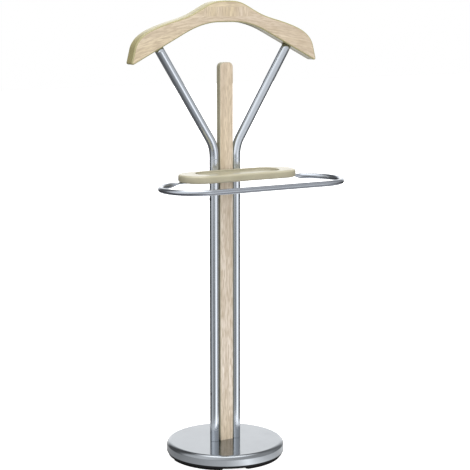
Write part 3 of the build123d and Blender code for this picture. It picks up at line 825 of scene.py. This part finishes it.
def hanger_face(shape, ring, columns):
    """Grid of quads over one flat side, its u along the arms and v across them."""
    over = ring[:columns]
    under = [None] + list(reversed(ring[columns:])) + [None]
    grid = []
    for k in range(1, columns - 1):
        top, bottom = shape.points[over[k]], shape.points[under[k]]
        inner = [top.lerp(bottom, m / FACE_ROWS) for m in range(1, FACE_ROWS)]
        grid.append([over[k]] + shape.ring(inner) + [under[k]])
    centres = [(shape.points[c[0]] + shape.points[c[-1]]) / 2 for c in grid]
    along = [0.0]
    for here, there in zip(centres, centres[1:]):
        along.append(along[-1] + (there - here).length)

    def uv(k, m):
        width = (shape.points[grid[k][0]] - shape.points[grid[k][-1]]).length
        return along[k], (m / FACE_ROWS - 0.5) * width

    for k in range(len(grid) - 1):
        for m in range(FACE_ROWS):
            corners = [grid[k][m], grid[k + 1][m], grid[k + 1][m + 1], grid[k][m + 1]]
            shape.face(corners, [uv(k, m), uv(k + 1, m), uv(k + 1, m + 1), uv(k, m + 1)])
    for k, tip in ((0, over[0]), (len(grid) - 1, over[-1])):
        corners = [tip] + grid[k]
        shape.face(corners, [(along[k], 0.0)] + [uv(k, m) for m in range(FACE_ROWS + 1)])


def hanger():
    outline, columns = hanger_outline()
    levels = board_rings(HANGER_THICKNESS, HANGER_EDGE, EDGE_STEPS, (EDGE_SUPPORT,))
    rings = [[Vector((x, HANGER_Y + y, z)) for x, z in inset(outline, margin)] for margin, y in levels]
    shape = Shape()
    rows = shape.skin(rings, slots=board_slots(levels, 1), rubbing_and_painted_light=board_wear_and_highlight(levels, HANGER_EDGE))
    hanger_face(shape, rows[0], columns)
    hanger_face(shape, rows[-1], columns)
    shape.build("hanger_look", [OAK_HANGER, RIM], "oak", "hanger")


# Tray --------------------------------------------------------------------------------------

def rounded_ring(length, width, corner, height):
    """Level ring with straight sides and round corners, always with the same count of points."""
    run, depth = length / 2 - corner, width / 2 - corner
    quarter = arc((run, depth), corner, 0, 90, CORNER_STEPS)
    sides = [run * (1 - 2 * k / LENGTHWISE_STEPS) for k in range(1, LENGTHWISE_STEPS)]
    ends = [depth * (1 - 2 * k / TRAY_END_STEPS) for k in range(1, TRAY_END_STEPS)]
    points = quarter + [(x, width / 2) for x in sides]
    points += [(-x, y) for x, y in reversed(quarter)] + [(-length / 2, y) for y in ends]
    points += [(-x, -y) for x, y in quarter] + [(-x, -width / 2) for x in sides]
    points += [(x, -y) for x, y in reversed(quarter)] + [(length / 2, -y) for y in ends]
    return [Vector((x, TRAY_Y + y, height)) for x, y in points]


# Rings of the tray that are rubbed and lightened by a painted highlight, counted from the bottom: its lower
# edge, upper edge and lip
TRAY_RUBBED_AND_HIGHLIT = {*range(2, 9), *range(12, 18), *range(21, 26)}


def tray():
    def outer(margin, height):
        return rounded_ring(TRAY_LENGTH - 2 * margin, TRAY_WIDTH - 2 * margin, TRAY_CORNER - margin, height)

    def hollow(margin, height):
        width = HOLLOW_WIDTH - 2 * margin
        return rounded_ring(HOLLOW_LENGTH - 2 * margin, width, width / 2, height)

    edge = rounding(TRAY_EDGE, EDGE_STEPS)
    rings = [outer(TRAY_EDGE + EDGE_SUPPORT, TRAY_BOTTOM)]
    rings += [outer(margin, TRAY_BOTTOM + rise) for margin, rise in edge]
    rings += [outer(margin, TRAY_TOP - rise) for margin, rise in reversed(edge)]
    rings += [outer(TRAY_EDGE + EDGE_SUPPORT, TRAY_TOP)]
    rings += [hollow(-HOLLOW_LIP - EDGE_SUPPORT, TRAY_TOP)]
    rings += [hollow(-margin, TRAY_TOP - rise) for margin, rise in rounding(HOLLOW_LIP, SMALL_EDGE_STEPS)]
    rubbing_and_painted_light = [1.0 if k in TRAY_RUBBED_AND_HIGHLIT else 0.0 for k in range(len(rings))]
    floor = TRAY_TOP - HOLLOW_DEPTH
    cove = [hollow(rise, floor + margin) for margin, rise in rounding(HOLLOW_COVE, EDGE_STEPS)]
    rings += cove + [hollow(HOLLOW_COVE + EDGE_SUPPORT, floor)]
    # The cove's rings get -1, which the lacquer darkens as painted shade
    rubbing_and_painted_light += [-1.0] * len(cove) + [0.0]
    shape = Shape()
    rows = shape.skin(rings, rubbing_and_painted_light=rubbing_and_painted_light)
    shape.cap(rows[0])
    shape.cap(rows[-1])
    shape.build("tray_look", [CREAM], "cream_lacquer", "tray")


# Trouser bar -------------------------------------------------------------------------------

def flat_ring(centre, outward, width, thickness, squareness):
    """Ring between round and flat. The outward direction is level and across the bar."""
    ring = []
    for k in range(BAR_SIDES):
        turn = 2 * math.pi * k / BAR_SIDES
        c, s = math.cos(turn), math.sin(turn)
        a = math.copysign(abs(c) ** (2 / squareness), c) * width / 2
        b = math.copysign(abs(s) ** (2 / squareness), s) * thickness / 2
        ring.append(centre + outward * a + Vector((0, 0, b)))
    return ring


def round_ring(centre, outward):
    return flat_ring(centre, outward, 2 * BAR_RADIUS, 2 * BAR_RADIUS, ROUND)


def bar_half():
    """Rings of the right half, from the tongue's inner end to the middle of the front."""
    rings = []
    tongue_height = TRAY_BOTTOM - TONGUE_THICKNESS / 2
    end_x = BAR_HALF_LENGTH - BAR_END_RADIUS
    centre_y = BAR_BACK - BAR_END_RADIUS
    quarter = [math.pi / 2 * k / TONGUE_END_STEPS for k in range(1, TONGUE_END_STEPS + 1)]
    stations = [TONGUE_ROUNDING * (1 - math.cos(turn)) for turn in quarter]
    stations += [reach * MM for reach in (12, 20, 28, 36, 44)] + [TONGUE_LENGTH]
    for reach in stations:
        short = max(0.0, TONGUE_ROUNDING - reach)
        half = math.sqrt(TONGUE_ROUNDING**2 - short**2) + TONGUE_WIDTH / 2 - TONGUE_ROUNDING
        centre = Vector((TONGUE_INNER_END + reach, BAR_BACK, tongue_height))
        rings.append(flat_ring(centre, Vector((0, 1, 0)), 2 * half, TONGUE_THICKNESS, TONGUE_SQUARENESS))
    for k in range(FLARE_STEPS + 1):
        share = k / FLARE_STEPS
        turn = math.pi / 2 - BAR_FLARE * share
        eased = ease(share)
        outward = Vector((math.cos(turn), math.sin(turn), 0))
        height = tongue_height + (BAR_HEIGHT - tongue_height) * eased
        centre = Vector((end_x, centre_y, height)) + outward * BAR_END_RADIUS
        width = TONGUE_WIDTH + (2 * BAR_RADIUS - TONGUE_WIDTH) * eased
        thickness = TONGUE_THICKNESS + (2 * BAR_RADIUS - TONGUE_THICKNESS) * eased
        squareness = TONGUE_SQUARENESS + (ROUND - TONGUE_SQUARENESS) * math.sqrt(eased)
        rings.append(flat_ring(centre, outward, width, thickness, squareness))
    for k in range(1, BAR_END_STEPS + 1):
        turn = math.pi / 2 - BAR_FLARE - (math.pi - BAR_FLARE) * k / BAR_END_STEPS
        outward = Vector((math.cos(turn), math.sin(turn), 0))
        centre = Vector((end_x, centre_y, BAR_HEIGHT)) + outward * BAR_END_RADIUS
        rings.append(round_ring(centre, outward))
    for k in range(1, BAR_FRONT_STEPS + 1):
        centre = Vector((end_x * (1 - k / BAR_FRONT_STEPS), centre_y - BAR_END_RADIUS, BAR_HEIGHT))
        rings.append(round_ring(centre, Vector((0, -1, 0))))
    return rings


def trouser_bar():
    right = bar_half()
    left = [[Vector((-p.x, p.y, p.z)) for p in ring] for ring in right]
    shape = Shape()
    rows = shape.skin(right + list(reversed(left))[1:])
    shape.cap(rows[0])
    shape.cap(rows[-1])
    shape.build("trouser_bar_look", [BAR_METAL], "tube_metal", "trouser_bar")


# Pieces that keep their CAD shape ----------------------------------------------------------

def finish_node(node, material):
    """Gives a CAD node its material."""
    piece = frame["nodes"][node]
    for index in range(len(piece.data.materials)):
        piece.data.materials[index] = material


base_cover()
rubber_feet()
for side in (-1, 1):
    lower_tube(side)
    arm_tube(side)
post()
hanger()
tray()
trouser_bar()
finish_node("base_plate", PLASTIC)
finish_node("base_weight", IRON)
for node in ("plate_screws", "tube_bolts", "bolt_washers", "post_screw", "tray_bolts", "bar_screws",
             "hanger_studs"):
    finish_node(node, ZINC)
finish_node("side_screws", BLACKENED)
for node in ("foot_plugs", "arm_plugs"):
    finish_node(node, PLUG)


# Studio ------------------------------------------------------------------------------------

FACING = 30.0          # the camera stands this far round from -Y towards -X, in degrees
CAMERA_DISTANCE = 3.4522
CAMERA_HEIGHT = 1.1073
CAMERA_HEADING = 30.39
CAMERA_PITCH = 9.47    # downwards
LENS = 114.3
SENSOR = 36.0
NEAREST, FARTHEST = 0.05, 60.0


def around(bearing, distance, height):
    """Point at a bearing from the base axis, counted from the camera towards its right."""
    turn = math.radians(bearing - FACING)
    return AXIS + Vector((math.sin(turn) * distance, -math.cos(turn) * distance, height))


def camera():
    data = bpy.data.cameras.new("camera")
    data.lens = LENS
    data.sensor_width = SENSOR
    data.clip_start, data.clip_end = NEAREST, FARTHEST
    view = bpy.data.objects.new("camera", data)
    bpy.context.scene.collection.objects.link(view)
    view.location = around(0, CAMERA_DISTANCE, CAMERA_HEIGHT)
    view.rotation_euler = (math.radians(90 - CAMERA_PITCH), 0, math.radians(-CAMERA_HEADING))
    bpy.context.scene.camera = view


def area_light(name, bearing, distance, height, width, tall, power, aim):
    """Rectangular lamp aimed at a height on the axis. Reflections see the studio, not the lamp."""
    data = bpy.data.lights.new(name, "AREA")
    data.shape = "RECTANGLE"
    data.size, data.size_y = width, tall
    data.energy = power
    lamp = bpy.data.objects.new(name, data)
    bpy.context.scene.collection.objects.link(lamp)
    lamp.location = around(bearing, distance, height)
    lamp.rotation_euler = (AXIS + Vector((0, 0, aim)) - lamp.location).to_track_quat("-Z", "Y").to_euler()
    lamp.visible_camera = False
    lamp.visible_glossy = False


# Brightness of the studio that the chrome mirrors, as pairs of a bearing in degrees, counted from the
# camera towards its right, and a level. First the walls, which are seen a little below the horizon
WALLS = [(-180, 0.06), (-123, 0.07), (-84, 0.16), (-64, 0.55), (-52, 0.66), (-28, 0.32), (-4, 0.20),
         (8, 0.34), (25, 0.85), (41, 1.65), (56, 1.60), (75, 0.50), (109, 0.12), (140, 0.05), (180, 0.06)]
# From the horizon upwards
SKY = [(-180, 0.20), (-140, 0.17), (-112, 0.17), (-100, 0.26), (-90, 0.62), (-84, 0.95), (-60, 1.28),
       (-40, 1.36), (-20, 1.25), (0, 1.05), (15, 0.88), (30, 0.84), (48, 0.80), (58, 0.74), (70, 0.68),
       (93, 0.68), (122, 0.42), (160, 0.22), (180, 0.20)]
# Far below the horizon
TABLE = [(-180, 0.15), (-60, 0.15), (0, 0.35), (60, 0.55), (120, 0.50), (180, 0.15)]
# Where one takes over from the other, as the height of the way a ray points, which is 1 straight up
TABLE_TO_WALLS = (-0.45, -0.32)
WALLS_TO_SKY = (-0.14, -0.03)
# Light from straight above
ZENITH = 3.5
ZENITH_FADE = (0.78, 0.975)
# White sheet behind the stand: its level, and that of the sweep on the table in front of it
BACKDROP = 1.52
SWEEP = 1.3
BACKDROP_TOP = (0.42, 0.66)
BACKDROP_SIDES = (math.radians(140), math.radians(163))
# Glowing card on the floor round the foot, seen only in reflections as painted reflected light, which grows
# from dark at the base's rim, a painted shade, to its full level
CARD_RADIUS = 300.0 * MM
CARD_HEIGHT = 0.3 * MM
CARD_FULL = 165.0 * MM
CARD = [(-180, 0.40), (-90, 0.54), (-67, 0.60), (-20, 0.98), (0, 1.15), (15, 1.62), (29, 2.50),
        (41, 1.95), (57, 1.38), (75, 1.12), (90, 1.08), (180, 0.48)]
# The floor's own light, which drops under the base as a painted shadow, and the distances from the axis
# between them
FLOOR_GLOW = (0.10, 0.86)
FLOOR_FADE = (100.0 * MM, 118.0 * MM)
FLOOR_REACH = 12.0
FLOOR_TONES = (0.88, 0.88, 0.88), (0.92, 0.92, 0.92)


def bearing_of(r, vector):
    """Bearing of a direction from the camera towards its right, from -pi to pi."""
    split = r.node("SeparateXYZ", {0: vector})
    heading = r.maths("ARCTAN2", split.outputs[0], r.maths("MULTIPLY", split.outputs[1], -1.0))
    turned = r.maths("ADD", heading, math.radians(FACING))
    return r.node("Math", {0: turned, 1: -math.pi, 2: math.pi}, operation="WRAP").outputs[0]


def by_bearing(r, bearing, levels):
    """Level read from a list of pairs (degrees, level), which a ramp holds as shares of the brightest."""
    ramp = r.node("ValToRGB", {"Fac": r.between(bearing, -math.pi, math.pi)})
    stops = ramp.color_ramp.elements
    brightest = max(level for _, level in levels)
    while len(stops) < len(levels):
        stops.new(0.5)
    for stop, (degrees, level) in zip(stops, levels):
        stop.position = (degrees + 180) / 360
        stop.color = (*[level / brightest] * 3, 1)
    return r.maths("MULTIPLY", ramp.outputs["Color"], brightest)


def world():
    """Levels for what mirrors the studio, and plain white for the camera."""
    made = bpy.data.worlds.new("studio")
    bpy.context.scene.world = made
    r = Recipe(made)
    toward = r.node("TexCoord").outputs["Generated"]
    up = r.node("SeparateXYZ", {0: toward}).outputs[2]
    bearing = bearing_of(r, toward)
    behind = r.between(r.maths("ABSOLUTE", bearing), *BACKDROP_SIDES)
    table = r.between(behind, 0.0, 1.0, by_bearing(r, bearing, TABLE), SWEEP)
    backdrop = r.maths("MULTIPLY", r.between(up, *BACKDROP_TOP, 1.0, 0.0), behind)
    sky = r.between(backdrop, 0.0, 1.0, by_bearing(r, bearing, SKY), BACKDROP)
    walls = r.between(r.between(up, *TABLE_TO_WALLS), 0.0, 1.0, table, by_bearing(r, bearing, WALLS))
    level = r.between(r.between(up, *WALLS_TO_SKY), 0.0, 1.0, walls, sky)
    overhead = r.maths("POWER", r.between(up, *ZENITH_FADE), 2.0)
    level = r.between(overhead, 0.0, 1.0, level, ZENITH)
    seen = r.node("LightPath").outputs["Is Camera Ray"]
    glow = r.node("Background", {"Strength": r.between(seen, 0.0, 1.0, level, 1.0), "Color": (1, 1, 1, 1)})
    output = r.node("OutputWorld")
    r.tree.links.new(glow.outputs[0], output.inputs[0])


def flat_sheet(name, rim, material):
    """Level sheet that belongs to the studio and not to the stand."""
    mesh = bpy.data.meshes.new(name)
    mesh.from_pydata([tuple(p) for p in rim], [], [tuple(range(len(rim)))])
    mesh.materials.append(material)
    sheet = bpy.data.objects.new(name, mesh)
    bpy.context.scene.collection.objects.link(sheet)
    return sheet


def floor():
    """Pale floor, lit and glowing enough to fade into the white background, with a painted shadow under the
    base where its glow drops.
    """
    r = new_material("studio_floor")
    texture = r.noise(r.coordinates("Object", (3, 3, 3)), detail=2)
    colour = r.mix(texture, *FLOOR_TONES)
    # Painted shadow under the base: the glow drops near the axis
    glow = r.between(r.length(r.from_axis()), *FLOOR_FADE, *FLOOR_GLOW)
    material = r.finish({"Base Color": colour, "Roughness": 0.9,
                         "Emission Color": (1, 1, 1, 1), "Emission Strength": glow})
    corners = [(x * FLOOR_REACH, y * FLOOR_REACH, 0) for x, y in ((-1, -1), (1, -1), (1, 1), (-1, 1))]
    ground = flat_sheet("studio_floor", corners, material)
    ground.visible_glossy = ground.visible_diffuse = False


def reflector():
    """Glowing card round the foot of the stand, which only reflections see: it paints the studio's light
    into reflections, and is dark at the base's rim as painted shade.
    """
    r = new_material("glowing_reflector_card")
    vector = r.from_axis()
    level = by_bearing(r, bearing_of(r, vector), CARD)
    # Dimmed to dark at the base's rim: painted shade
    glow = r.maths("MULTIPLY", level, r.between(r.length(vector), BASE_RADIUS, CARD_FULL))
    material = r.finish({"Base Color": (0, 0, 0, 1), "Roughness": 1.0, "Specular IOR Level": 0.0,
                         "Emission Color": (1, 1, 1, 1), "Emission Strength": glow})
    rim = [p + AXIS for p in circle(CARD_RADIUS, CARD_HEIGHT, TUBE_SIDES)]
    card = flat_sheet("glowing_reflector_card", rim, material)
    card.visible_camera = card.visible_diffuse = card.visible_shadow = False


camera()
world()
floor()
reflector()
area_light("overhead_softbox", bearing=20, distance=0.8, height=3.6, width=3.0, tall=2.4, power=19, aim=0.7)
area_light("tall_softbox", bearing=50, distance=3.4, height=0.9, width=0.8, tall=2.4, power=12, aim=0.6)
area_light("front_fill", bearing=35, distance=4.5, height=0.5, width=2.6, tall=2.6, power=62, aim=0.5)
bpy.context.scene.view_settings.view_transform = "Standard"
